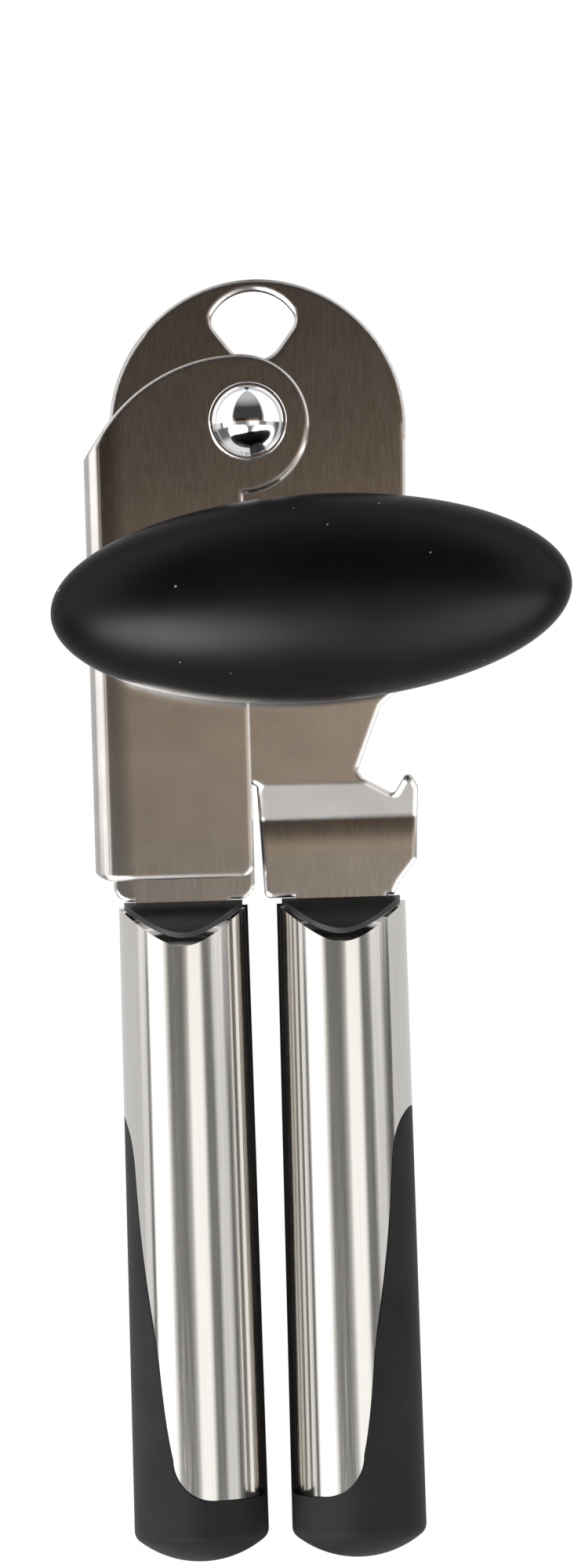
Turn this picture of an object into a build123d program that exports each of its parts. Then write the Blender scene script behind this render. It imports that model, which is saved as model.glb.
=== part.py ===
"""Manual can opener: two pressed-steel levers riveted together at the head, a folded front
lever that straddles a flat back lever, a cutter wheel on the front lever, a toothed feed wheel
on the back lever turned by a large soft knob, a bottle opener notch in the back lever's edge,
and two steel-sleeved handles with soft grips.

Frame: the opener lies on its back. +Z is up, out of the knob; +Y runs from the handles to the
head; the origin is at the bottom centre of the bounding box. Outlines are drawn from the
pivot axis, in millimetres, and lengths along a handle are measured down from that axis.
"""

from build123d import *
import os
from math import cos, radians, sin, sqrt

os.makedirs("parts", exist_ok=True)

# ------------------------------------------------------------------ driving dimensions
# Sheet metal and clearances
plate_t = 2.0  # back lever sheet
leaf_t = 1.8  # front lever sheet
edge_round = 0.45  # rounded front rim of the stamped sheets
run_gap = 0.05  # end play between faces that turn on each other
fit_gap = 0.02  # radial gap of a pressed or riveted fit
bore_gap = 0.05  # radial gap of a running fit
cut_over = 1.0  # how far a cutting tool runs past what it cuts

# Lever pivot
rivet_r = 3.0
rivet_dome_r = 5.6
rivet_dome_h = 2.8
rivet_tail_r = 4.8
rivet_tail_h = 1.4
head_washer_r = 6.2
head_washer_t = 0.5
pivot_spacer_r = 7.5
pivot_spacer_t = 0.4

# Cutter stack, from the surface the opener lies on upwards
axle_r = 3.0
axle_head_r = 5.2
axle_head_t = 2.4
axle_head_round = 0.4
axle_sink_r = 4.2  # flush riveted end
axle_sink_t = 1.2
cutter_washer_r = 5.6
cutter_washer_t = 0.6
cutter_r = 11.5
cutter_t = 2.0
cutter_land = 0.15  # thickness left at the cutting edge
cutter_hub_r = 7.0
cutter_spacer_r = 5.2

# Feed wheel, its shaft and its bearing
feed_r = 9.5
feed_teeth = 20
feed_tooth_depth = 1.0
feed_tooth_share = 0.9  # of the pitch that the gap between two teeth takes, past the rim
feed_rim_t = 3.0
feed_hub_r = 6.0
shaft_r = 3.5
shaft_flat = 2.6  # shaft centre to each drive flat
shaft_stud_r = 2.5  # threaded end for the nut
shaft_grip = 17.0  # length of shaft held in the knob above its underside
nut_flats = 10.0
nut_t = 3.0
nut_lead = 0.6  # shaft end past the nut
bearing_r = 5.0
bearing_flange_r = 7.0
bearing_flange_t = 1.4
bearing_proud = 0.6  # bearing past the back of the plate
spring_washer_r = 6.6
spring_washer_t = 0.5
edge_pass = 0.3  # cutting edge to the back of the feed wheel
wheel_overlap = 1.0  # how far cutter and feed wheel pass each other
wheel_line_angle = 10.0  # line of centres above the X axis

# Knob
knob_length = 80.7
knob_width = 32.2
knob_depth = 25.0
knob_skin_t = 2.2
knob_stand_off = 12.0  # back lever's front face to the underside of the knob
knob_rest_angle = 2.2
boss_r = 8.0
knob_pin_r = 1.25
knob_pin_inset = 0.4  # pin end short of the side of the hard core

# Positions measured from the pivot axis
shaft_dx, shaft_dy = 9.1, -28.9
head_dx, head_dy = 1.5, -0.9  # centre of the back lever's round head
head_r = 23.4
handle_dx = 12.5
handle_end = 180.1  # pivot axis down to the tip of the handles

# Front lever outline
ear_dx, ear_dy = -1.3, -0.4
ear_r = 11.0
crown_r = 26.3  # curve from the ear down towards the fold
crown_angle = 55.0
fold_reach = 26.15  # pivot axis to the outside of the fold
front_edge_dx = 1.05  # pivot axis to the lever's inner edge
front_edge_end = 71.9
front_corner_r = 2.0
fold_corner_r = 4.0  # lower end of the fold, rounded from just outside it
front_shoulder_end = 75.4
front_shoulder_inset = 2.8  # outside of the fold to the shoulder
shoulder_corner_r = 2.6

# Back lever outline
joggle_start, joggle_end = 57.6, 62.9
back_edge_dx = 0.5  # pivot axis to the lever's inner edge at its foot
back_edge_lean = 0.8  # how far that edge leans in at its upper end
back_shoulder_end = 75.4
back_right_dx = 24.8
back_hip_dx, back_hip_dy = 23.9, -42.0  # where the right edge turns in
back_waist_dx, back_waist_dy = 19.7, -45.4  # where it turns down to the notch
notch_dx, notch_dy = 15.7, -55.6
hook_dx, hook_dy = 21.4, -59.5  # root of the bottle opener tooth
tooth_dx, tooth_dy = 23.7, -55.6
notch_floor = (0.9, -1.3)  # end of the notch to the start of its floor
tooth_heel = (1.5, -2.8)  # point of the tooth to its heel
tail_dx, tail_dy = 24.7, -69.9
tail_cut = (-2.8, -3.5)  # corner of the tail to the end of its slope
tail_foot = 3.8  # corner of the tail in to the shoulder
hip_r = 1.5
waist_r = 3.0
notch_r = 1.0
tooth_r = 0.8  # at the point of the tooth and at its root
tail_r = 1.0
stop_gap = 0.2  # closing stop to the inside of the fold
stop_dy = -44.0
stop_foot = 3.0  # top of the stop down to its foot
stop_lead = 4.0  # top of the stop up to the head's straight side

# Hanging hole, measured from the middle of its upper edge
hang_web = 1.8  # sheet left above the hole
hang_top_dx = 1.4
hang_left = (-7.2, -4.9)
hang_right = (6.9, -5.0)
hang_foot = (0.0, -14.3)  # where its lower sides would meet
hang_side_r, hang_foot_r = 2.5, 4.9

# Tangs
tang_w = 15.0
tang_end = 103.0
tang_corner_r = 3.0
tang_fit = 0.1  # slot clearance round a tang
tang_hole_r = 2.0
tang_hole_at = 92.0
tang_pin_inset = 0.28  # pin end short of the inside of the sleeve

# Handles
handle_top_r = 10.2  # at the mouth of the sleeve
handle_r = 10.65  # at the end of the sleeve
sleeve_t = 0.8
sleeve_top = 76.3  # pivot axis to the sides of the sleeve mouth
sleeve_scoop = 6.0  # how far the mouth dips at the front and back
plug_crown = 0.8  # plug ridge above the sides of the sleeve mouth
plug_end = 106.0
core_end = 172.0
grip_gap = 0.15  # shadow line between sleeve and grip
window_start = 108.7  # where the grip begins at the side of the handle
window_twist = 8.4  # window turned about the handle's axis
arch_near = (10.9, 0.66)  # past the window's start, and half its width as a share of handle_r
arch_far = (35.7, 0.875)
tongue_end = 169.5
tongue_corner = 6.5  # round of the steel tongue's corner
tongue_edge = 2.5  # tongue's side past the middle of the handle
end_rim = 176.0  # pivot axis to the rim of the end cap
end_round = 2.0

# ------------------------------------------------------------------ derived places
pivot_x = -shaft_dx  # the knob's tips are the widest points, so its shaft is in the middle
pivot_y = (handle_end - head_dy - head_r) / 2

line_of_centres = radians(wheel_line_angle)
wheel_centres = cutter_r + feed_r - wheel_overlap
shaft_x, shaft_y = pivot_x + shaft_dx, pivot_y + shaft_dy
cutter_dx = shaft_dx - wheel_centres * cos(line_of_centres)
cutter_dy = shaft_dy + wheel_centres * sin(line_of_centres)
cutter_x, cutter_y = pivot_x + cutter_dx, pivot_y + cutter_dy

z_handle = handle_r
z_rear_leaf = z_handle - leaf_t / 2
z_channel_floor = z_rear_leaf + leaf_t
z_plate = z_channel_floor + pivot_spacer_t + run_gap
z_plate_front = z_plate + plate_t
z_channel_roof = z_plate_front + run_gap + pivot_spacer_t
z_front_leaf_top = z_channel_roof + leaf_t
z_fold = (z_rear_leaf + z_front_leaf_top) / 2
fold_r = (z_front_leaf_top - z_rear_leaf) / 2
z_back_tang = z_handle - plate_t / 2
fold_line_dx = fold_reach - fold_r
stop_reach = fold_line_dx + sqrt((fold_r - leaf_t) ** 2 - plate_t**2 / 4) - stop_gap

z_cutter_back = axle_head_t + cutter_washer_t + run_gap
z_cutter_edge = z_cutter_back + cutter_t
z_cutter_spacer = z_cutter_edge + run_gap

z_feed_back = z_cutter_edge + edge_pass
z_feed_rim = z_feed_back + feed_rim_t
z_bearing_back = z_plate - bearing_proud
z_feed_hub = z_bearing_back - run_gap
z_nut = z_feed_back - nut_t
z_bearing_front = z_plate_front + bearing_flange_t
z_spring_washer = z_bearing_front + run_gap
z_boss = z_spring_washer + spring_washer_t
z_knob_under = z_plate_front + knob_stand_off
z_knob_middle = z_knob_under + knob_depth / 2
z_shaft_top = z_knob_under + shaft_grip
hang_top_dy = head_dy + head_r - hang_web


# ------------------------------------------------------------------ planes and helpers
def pivot_plane(z):
    """Plane parallel to the levers with its origin on the pivot axis."""
    return Plane(origin=(pivot_x, pivot_y, z))


def shaft_plane(z):
    return Plane(origin=(shaft_x, shaft_y, z))


def cutter_plane(z):
    return Plane(origin=(cutter_x, cutter_y, z))


def knob_plane(z):
    """Plane across the drive shaft, turned with the knob."""
    turn = radians(knob_rest_angle)
    return Plane(origin=(shaft_x, shaft_y, z), x_dir=(cos(turn), sin(turn), 0), z_dir=(0, 0, 1))


def knob_pin_plane():
    """Upright plane across the middle of the knob, square to the pin that locks it to the shaft."""
    turn = radians(knob_rest_angle)
    centre = (shaft_x, shaft_y, z_knob_middle)
    return Plane(origin=centre, x_dir=(cos(turn), sin(turn), 0), z_dir=(-sin(turn), cos(turn), 0))


def upright_plane(x, y):
    """Plane through an upright axis, for revolved parts: X is the radius and Y is the height."""
    return Plane(origin=(x, y, 0), x_dir=(1, 0, 0), z_dir=(0, -1, 0))


def upright_axis(x, y):
    return Axis((x, y, 0), (0, 0, 1))


def near(points, x, y, reach=0.3):
    """The vertices of a sketch within reach of a point in the sketch's own plane."""
    return ShapeList(v for v in points if (v.X - x) ** 2 + (v.Y - y) ** 2 < reach**2)


def front_rim(sheet):
    """The edges where the front faces of a stamped sheet meet its sides."""
    front_faces = [f for f in sheet.faces() if f.normal_at().Z > 0.3]
    side_edges = [e for f in sheet.faces() if abs(f.normal_at().Z) < 0.3 for e in f.edges()]
    return [e for f in front_faces for e in f.edges() if e in side_edges]


def save(part, name):
    part.label = name
    export_step(part, f"parts/{name}.step")


def washer(plane, outer_r, inner_r, thickness):
    """A flat ring standing on a plane."""
    with BuildPart() as ring:
        with BuildSketch(plane):
            Circle(outer_r)
            Circle(inner_r, mode=Mode.SUBTRACT)
        extrude(amount=thickness)
    return ring.part


# ------------------------------------------------------------------ front lever
crown_end_dx = ear_dx - crown_r * sin(radians(crown_angle))
crown_end_dy = ear_dy + ear_r - crown_r * (1 - cos(radians(crown_angle)))
crown_mid_dx = ear_dx - crown_r * sin(radians(crown_angle / 2))
crown_mid_dy = ear_dy + ear_r - crown_r * (1 - cos(radians(crown_angle / 2)))
crown_slope = sin(radians(crown_angle)) / cos(radians(crown_angle))
crown_foot_dy = crown_end_dy - (fold_reach + cut_over + crown_end_dx) * crown_slope

with BuildPart() as front_lever:
    # Folded section, open towards +X, run down the lever
    section_reach = fold_line_dx + ear_dx + ear_r + cut_over
    section_top = pivot_y + ear_dy + ear_r + cut_over
    with BuildSketch(
        Plane(origin=(pivot_x - fold_line_dx, section_top, z_fold), x_dir=(1, 0, 0), z_dir=(0, -1, 0))
    ):
        Circle(fold_r)
        with Locations((section_reach / 2, 0)):
            Rectangle(section_reach, 2 * fold_r)
        Circle(fold_r - leaf_t, mode=Mode.SUBTRACT)
        with Locations((section_reach / 2, 0)):
            Rectangle(section_reach + cut_over, 2 * (fold_r - leaf_t), mode=Mode.SUBTRACT)
    extrude(amount=front_edge_end + ear_dy + ear_r + cut_over)
    # Outline shared by both leaves
    with BuildSketch(pivot_plane(0)) as front_outline:
        with BuildLine():
            Line((-fold_reach - cut_over, -front_edge_end), (-front_edge_dx, -front_edge_end))
            Line((-front_edge_dx, -front_edge_end), (-front_edge_dx, ear_dy))
            Line((-front_edge_dx, ear_dy), (ear_dx, ear_dy + ear_r))
            ThreePointArc(
                (ear_dx, ear_dy + ear_r), (crown_mid_dx, crown_mid_dy), (crown_end_dx, crown_end_dy)
            )
            Line((crown_end_dx, crown_end_dy), (-fold_reach - cut_over, crown_foot_dy))
            Line((-fold_reach - cut_over, crown_foot_dy), (-fold_reach - cut_over, -front_edge_end))
        make_face()
        with Locations((ear_dx, ear_dy)):
            Circle(ear_r)
        fillet(near(front_outline.vertices(), -front_edge_dx, -front_edge_end), front_corner_r)
        fillet(near(front_outline.vertices(), -fold_reach - cut_over, -front_edge_end), fold_corner_r)
    extrude(amount=z_front_leaf_top + cut_over, mode=Mode.INTERSECT)
    # Rear leaf carried on as shoulder and tang
    with BuildSketch(pivot_plane(z_rear_leaf)) as front_shoulder:
        shoulder_w = fold_reach - front_shoulder_inset - front_edge_dx - fit_gap
        shoulder_top = front_edge_end - front_corner_r - cut_over
        with Locations((-front_edge_dx - fit_gap - shoulder_w / 2, -(front_shoulder_end + shoulder_top) / 2)):
            Rectangle(shoulder_w, front_shoulder_end - shoulder_top)
        fillet(front_shoulder.vertices().group_by(Axis.Y)[0], shoulder_corner_r)
    extrude(amount=leaf_t)
    with BuildSketch(pivot_plane(z_rear_leaf)) as front_tang:
        with Locations((-handle_dx, -(tang_end + shoulder_top) / 2)):
            Rectangle(tang_w, tang_end - shoulder_top)
        fillet(front_tang.vertices().group_by(Axis.Y)[0], tang_corner_r)
        with Locations((-handle_dx, -tang_hole_at)):
            Circle(tang_hole_r + fit_gap, mode=Mode.SUBTRACT)
    extrude(amount=leaf_t)
    # Rivet and axle holes
    with BuildSketch(pivot_plane(0)):
        Circle(rivet_r + fit_gap)
        with Locations((cutter_dx, cutter_dy)):
            Circle(axle_r + fit_gap)
    extrude(amount=z_channel_floor + cut_over, mode=Mode.SUBTRACT)
    with BuildSketch(pivot_plane(z_channel_roof - cut_over)):
        Circle(rivet_r + fit_gap)
    extrude(amount=leaf_t + 2 * cut_over, mode=Mode.SUBTRACT)
    with BuildSketch(upright_plane(cutter_x, cutter_y)):
        Polygon(
            (0, z_channel_floor - axle_sink_t),
            (axle_r + fit_gap, z_channel_floor - axle_sink_t),
            (axle_sink_r + fit_gap, z_channel_floor),
            (0, z_channel_floor),
            align=None,
        )
    revolve(axis=upright_axis(cutter_x, cutter_y), mode=Mode.SUBTRACT)
    front_leaf_rim = front_lever.faces().filter_by(Axis.Z).sort_by(Axis.Z)[-1].outer_wire().edges()
    fillet(front_leaf_rim.filter_by(lambda e: e.center().X > pivot_x - fold_line_dx + fit_gap), edge_round)
save(front_lever.part, "front_lever")

# ------------------------------------------------------------------ back lever
with BuildPart() as back_lever:
    # Side profile with the joggle, across the whole width
    with BuildSketch(Plane(origin=(pivot_x - fold_reach, pivot_y, 0), x_dir=(0, 1, 0), z_dir=(1, 0, 0))):
        with BuildLine():
            Polyline(
                (head_dy + head_r + cut_over, z_plate),
                (-joggle_start, z_plate),
                (-joggle_end, z_back_tang),
                (-tang_end, z_back_tang),
                (-tang_end, z_back_tang + plate_t),
                (-joggle_end, z_back_tang + plate_t),
                (-joggle_start, z_plate_front),
                (head_dy + head_r + cut_over, z_plate_front),
                close=True,
            )
        make_face()
    extrude(amount=2 * fold_reach + cut_over)
    # Outline
    with BuildSketch(pivot_plane(0)) as back_outline:
        with Locations((head_dx, head_dy)):
            Circle(head_r)
        with BuildLine():
            Polyline(
                (back_right_dx, head_dy),
                (back_hip_dx, back_hip_dy),
                (back_waist_dx, back_waist_dy),
                (notch_dx, notch_dy),
                (notch_dx + notch_floor[0], notch_dy + notch_floor[1]),
                (hook_dx, hook_dy),
                (tooth_dx, tooth_dy),
                (tooth_dx + tooth_heel[0], tooth_dy + tooth_heel[1]),
                (tail_dx, tail_dy),
                (tail_dx + tail_cut[0], tail_dy + tail_cut[1]),
                (tail_dx - tail_foot, -back_shoulder_end),
                (back_edge_dx, -back_shoulder_end),
                (back_edge_dx - back_edge_lean, -joggle_start),
                (-stop_reach, stop_dy - stop_foot),
                (-stop_reach, stop_dy),
                (head_dx - head_r, stop_dy + stop_lead),
                (head_dx - head_r, head_dy),
                close=True,
            )
        make_face()
        for corner_dx, corner_dy, corner_r in (
            (back_hip_dx, back_hip_dy, hip_r),
            (back_waist_dx, back_waist_dy, waist_r),
            (notch_dx, notch_dy, notch_r),
            (hook_dx, hook_dy, tooth_r),
            (tooth_dx, tooth_dy, tooth_r),
            (tail_dx, tail_dy, tail_r),
            (tail_dx + tail_cut[0], tail_dy + tail_cut[1], tail_r),
            (back_edge_dx, -back_shoulder_end, tail_r),
        ):
            fillet(near(back_outline.vertices(), corner_dx, corner_dy), corner_r)
        with BuildSketch(pivot_plane(0), mode=Mode.ADD) as back_tang:
            with Locations((handle_dx, -(tang_end + back_shoulder_end - cut_over) / 2)):
                Rectangle(tang_w, tang_end - back_shoulder_end + cut_over)
            fillet(back_tang.vertices().group_by(Axis.Y)[0], tang_corner_r)
    extrude(amount=z_plate_front + cut_over, mode=Mode.INTERSECT)
    # Pivot, bearing, tang pin and hanging holes
    with BuildSketch(pivot_plane(0)):
        Circle(rivet_r + bore_gap)
        with Locations((shaft_dx, shaft_dy)):
            Circle(bearing_r + fit_gap)
        with Locations((handle_dx, -tang_hole_at)):
            Circle(tang_hole_r + fit_gap)
    extrude(amount=z_plate_front + cut_over, mode=Mode.SUBTRACT)
    with BuildSketch(pivot_plane(0)) as hang_hole:
        left_x, left_y = hang_top_dx + hang_left[0], hang_top_dy + hang_left[1]
        right_x, right_y = hang_top_dx + hang_right[0], hang_top_dy + hang_right[1]
        foot_x, foot_y = hang_top_dx + hang_foot[0], hang_top_dy + hang_foot[1]
        with BuildLine():
            ThreePointArc((left_x, left_y), (hang_top_dx, hang_top_dy), (right_x, right_y))
            Polyline((right_x, right_y), (foot_x, foot_y), (left_x, left_y))
        make_face()
        fillet(near(hang_hole.vertices(), left_x, left_y), hang_side_r)
        fillet(near(hang_hole.vertices(), right_x, right_y), hang_side_r)
        fillet(near(hang_hole.vertices(), foot_x, foot_y), hang_foot_r)
    extrude(amount=z_plate_front + cut_over, mode=Mode.SUBTRACT)
    fillet(front_rim(back_lever.part), edge_round)
save(back_lever.part, "back_lever")

# ------------------------------------------------------------------ lever pivot
with BuildPart() as pivot_rivet:
    with BuildSketch(upright_plane(pivot_x, pivot_y)) as rivet_profile:
        z_washer_top = z_front_leaf_top + head_washer_t
        with BuildLine():
            Polyline(
                (0, z_rear_leaf - rivet_tail_h),
                (rivet_tail_r, z_rear_leaf - rivet_tail_h),
                (rivet_tail_r, z_rear_leaf),
                (rivet_r, z_rear_leaf),
                (rivet_r, z_washer_top),
                (rivet_dome_r, z_washer_top),
            )
            dome_r = (rivet_dome_r**2 + rivet_dome_h**2) / (2 * rivet_dome_h)
            dome_centre_z = z_washer_top + rivet_dome_h - dome_r
            ThreePointArc(
                (rivet_dome_r, z_washer_top),
                (rivet_dome_r / 2, dome_centre_z + sqrt(dome_r**2 - rivet_dome_r**2 / 4)),
                (0, z_washer_top + rivet_dome_h),
            )
            Line((0, z_washer_top + rivet_dome_h), (0, z_rear_leaf - rivet_tail_h))
        make_face()
        fillet(near(rivet_profile.vertices(), rivet_tail_r, z_rear_leaf - rivet_tail_h), rivet_tail_h / 2)
    revolve(axis=upright_axis(pivot_x, pivot_y))
save(pivot_rivet.part, "pivot_rivet")

with BuildPart() as rivet_washer:
    add(washer(pivot_plane(z_front_leaf_top), head_washer_r, rivet_r + fit_gap, head_washer_t))
    fillet(rivet_washer.faces().sort_by(Axis.Z)[-1].outer_wire().edges(), head_washer_t / 2)
save(rivet_washer.part, "rivet_washer")

with BuildPart() as pivot_spacers:
    for z_spacer in (z_channel_floor, z_channel_roof - pivot_spacer_t):
        add(washer(pivot_plane(z_spacer), pivot_spacer_r, rivet_r + fit_gap, pivot_spacer_t))
save(pivot_spacers.part, "pivot_spacers")

# ------------------------------------------------------------------ cutter
with BuildPart() as cutter_axle:
    with BuildSketch(upright_plane(cutter_x, cutter_y)) as axle_profile:
        Polygon(
            (0, 0),
            (axle_head_r, 0),
            (axle_head_r, axle_head_t),
            (axle_r, axle_head_t),
            (axle_r, z_channel_floor - axle_sink_t),
            (axle_sink_r, z_channel_floor),
            (0, z_channel_floor),
            align=None,
        )
        fillet(near(axle_profile.vertices(), axle_head_r, 0), axle_head_round)
    revolve(axis=upright_axis(cutter_x, cutter_y))
save(cutter_axle.part, "cutter_axle")

with BuildPart() as cutter_washer:
    add(washer(cutter_plane(axle_head_t), cutter_washer_r, axle_r + fit_gap, cutter_washer_t))
save(cutter_washer.part, "cutter_washer")

with BuildPart() as cutter_wheel:
    with BuildSketch(upright_plane(cutter_x, cutter_y)):
        Polygon(
            (axle_r + bore_gap, z_cutter_back),
            (cutter_hub_r, z_cutter_back),
            (cutter_r, z_cutter_edge - cutter_land),
            (cutter_r, z_cutter_edge),
            (axle_r + bore_gap, z_cutter_edge),
            align=None,
        )
    revolve(axis=upright_axis(cutter_x, cutter_y))
save(cutter_wheel.part, "cutter_wheel")

with BuildPart() as cutter_spacer:
    add(
        washer(
            cutter_plane(z_cutter_spacer), cutter_spacer_r, axle_r + fit_gap, z_rear_leaf - z_cutter_spacer
        )
    )
save(cutter_spacer.part, "cutter_spacer")


# ------------------------------------------------------------------ drive
def flatted_bar(plane, clearance, length):
    """Round bar with two drive flats, standing on a plane."""
    with BuildPart() as bar:
        with BuildSketch(plane):
            Circle(shaft_r + clearance)
            Rectangle(3 * shaft_r, 2 * (shaft_flat + clearance), mode=Mode.INTERSECT)
        extrude(amount=length)
    return bar.part


with BuildPart() as drive_shaft:
    add(flatted_bar(knob_plane(z_feed_back), 0, z_feed_hub - z_feed_back))
    add(flatted_bar(knob_plane(z_boss), 0, z_shaft_top - z_boss))
    with BuildSketch(shaft_plane(z_feed_hub)):
        Circle(shaft_r)
    extrude(amount=z_boss - z_feed_hub)
    with BuildSketch(shaft_plane(z_nut - nut_lead)):
        Circle(shaft_stud_r)
    extrude(amount=nut_t + nut_lead)
    with BuildSketch(knob_pin_plane()):
        Circle(knob_pin_r + fit_gap)
    extrude(amount=2 * shaft_r, both=True, mode=Mode.SUBTRACT)
save(drive_shaft.part, "drive_shaft")

with BuildPart() as shaft_bearing:
    with BuildSketch(upright_plane(shaft_x, shaft_y)):
        Polygon(
            (shaft_r + bore_gap, z_bearing_back),
            (bearing_r, z_bearing_back),
            (bearing_r, z_plate_front),
            (bearing_flange_r, z_plate_front),
            (bearing_flange_r, z_bearing_front),
            (shaft_r + bore_gap, z_bearing_front),
            align=None,
        )
    revolve(axis=upright_axis(shaft_x, shaft_y))
save(shaft_bearing.part, "shaft_bearing")

with BuildPart() as feed_wheel:
    with BuildSketch(knob_plane(z_feed_back)):
        Circle(feed_r)
        tooth_pitch = radians(360 / feed_teeth)
        with PolarLocations(feed_r, feed_teeth):
            Polygon(
                (cut_over, -feed_r * tooth_pitch / 2 * feed_tooth_share),
                (-feed_tooth_depth, 0),
                (cut_over, feed_r * tooth_pitch / 2 * feed_tooth_share),
                align=None,
                mode=Mode.SUBTRACT,
            )
    extrude(amount=feed_rim_t)
    with BuildSketch(shaft_plane(z_feed_rim)):
        Circle(feed_hub_r)
    extrude(amount=z_feed_hub - z_feed_rim)
    add(flatted_bar(knob_plane(z_feed_back), fit_gap, z_feed_hub - z_feed_back), mode=Mode.SUBTRACT)
save(feed_wheel.part, "feed_wheel")

with BuildPart() as feed_wheel_nut:
    with BuildSketch(knob_plane(z_nut)):
        RegularPolygon(nut_flats / 2, 6, major_radius=False)
        Circle(shaft_stud_r + fit_gap, mode=Mode.SUBTRACT)
    extrude(amount=nut_t)
save(feed_wheel_nut.part, "feed_wheel_nut")

with BuildPart() as spring_washer:
    add(washer(shaft_plane(z_spring_washer), spring_washer_r, shaft_r + fit_gap, spring_washer_t))
save(spring_washer.part, "spring_washer")


# ------------------------------------------------------------------ knob
def knob_pebble(inset):
    """The knob's pebble form in its place, drawn in by an inset."""
    with BuildPart() as pebble:
        Sphere(1)
        scale(by=(knob_length / 2 - inset, knob_width / 2 - inset, knob_depth / 2 - inset))
    return knob_plane(z_knob_middle).location * pebble.part


def knob_boss():
    """Round boss from the spring washer up into the middle of the knob."""
    with BuildPart() as boss:
        with BuildSketch(shaft_plane(z_boss)):
            Circle(boss_r)
        extrude(amount=z_knob_middle - z_boss)
    return boss.part


with BuildPart() as knob_core:
    add(knob_pebble(knob_skin_t))
    add(knob_boss())
    add(flatted_bar(knob_plane(z_boss), fit_gap, z_shaft_top - z_boss), mode=Mode.SUBTRACT)
    with BuildSketch(knob_pin_plane()):
        Circle(knob_pin_r)
    extrude(amount=knob_width, both=True, mode=Mode.SUBTRACT)
save(knob_core.part, "knob_core")

with BuildPart() as knob_pin:
    with BuildSketch(knob_pin_plane()):
        Circle(knob_pin_r)
    extrude(amount=knob_width / 2 - knob_skin_t - knob_pin_inset, both=True)
save(knob_pin.part, "knob_pin")

with BuildPart() as knob_skin:
    add(knob_pebble(0))
    add(knob_pebble(knob_skin_t), mode=Mode.SUBTRACT)
    add(knob_boss(), mode=Mode.SUBTRACT)
save(knob_skin.part, "knob_skin")


# ------------------------------------------------------------------ handles
def handle_radius(along):
    """Outer radius of a handle at a distance down from the pivot axis."""
    share = (along - sleeve_top) / (end_rim - sleeve_top)
    return handle_top_r + (handle_r - handle_top_r) * share


def axis_plane(dx):
    """Plane through a handle's axis: X runs down the handle and Y is the radius."""
    return Plane(origin=(pivot_x + dx, pivot_y, z_handle), x_dir=(0, -1, 0), z_dir=(0, 0, 1))


def side_plane(dx):
    """Upright plane through a handle's axis, seen from the side: X runs down the handle."""
    return Plane(origin=(pivot_x + dx, pivot_y, z_handle), x_dir=(0, -1, 0), z_dir=(1, 0, 0))


def handle_axis(dx):
    return Axis((pivot_x + dx, pivot_y, z_handle), (0, -1, 0))


def tapered_bar(dx, start, end, inset):
    """Round bar along a handle, inset from the handle's outer surface."""
    with BuildPart() as bar:
        with BuildSketch(axis_plane(dx)):
            Polygon(
                (start, 0),
                (start, handle_radius(start) - inset),
                (end, handle_radius(end) - inset),
                (end, 0),
                align=None,
            )
        revolve(axis=handle_axis(dx))
    return bar.part


def mouth_cutter(dx, lift):
    """What the saddle of the sleeve's mouth takes away, raised towards the head by lift."""
    wide = handle_r + cut_over
    saddle_r = (handle_top_r**2 + sleeve_scoop**2) / (2 * sleeve_scoop)
    top = sleeve_top - lift
    with BuildPart() as cutter:
        with BuildSketch(side_plane(dx)):
            with Locations((top - cut_over, 0)):
                Rectangle(2 * (sleeve_scoop + 2 * cut_over), 2 * wide)
            with Locations((top + saddle_r, 0)):
                Circle(saddle_r, mode=Mode.SUBTRACT)
        extrude(amount=wide, both=True)
    return cutter.part


def window(dx, out, gap):
    """The part of a handle that the soft grip shows in, less a gap all round. out is +1 where the
    handle's outer side is +X and -1 where it is -X, and the window is twisted about the axis."""
    twist = radians(window_twist)
    outward = (out * cos(twist), 0, out * sin(twist))
    centre = (pivot_x + dx, pivot_y, z_handle)
    arch_plane = Plane(origin=centre, x_dir=(0, -1, 0), z_dir=outward)
    tongue_plane = Plane(origin=centre, x_dir=(0, -1, 0), z_dir=(-outward[2], 0, outward[0]))
    far = handle_end + cut_over
    wide = handle_r + cut_over
    edge = tongue_edge + gap
    end = tongue_end + gap
    turn = end - tongue_corner
    corner_in = tongue_corner * (1 - cos(radians(45)))
    with BuildPart() as region:
        with BuildSketch(arch_plane.offset(edge)):
            with BuildLine():
                Spline(
                    (window_start + gap, 0),
                    (window_start + arch_near[0], arch_near[1] * handle_r - gap),
                    (window_start + arch_far[0], arch_far[1] * handle_r - gap),
                    (turn + cut_over, sqrt(handle_r**2 - edge**2)),
                    tangents=((0, 1), (1, 0.06)),
                )
                Line((turn + cut_over, sqrt(handle_r**2 - edge**2)), (turn + cut_over, 0))
                mirror(about=Plane.XZ)
            make_face()
        extrude(amount=wide)
        with BuildSketch(tongue_plane):
            with BuildLine():
                Polyline((turn, edge), (turn, wide), (far, wide), (far, -wide))
                Polyline((far, -wide), (end, -wide), (end, edge - tongue_corner))
                ThreePointArc(
                    (end, edge - tongue_corner), (end - corner_in, edge - corner_in), (turn, edge)
                )
            make_face()
        extrude(amount=wide, both=True)
    return region.part


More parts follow.
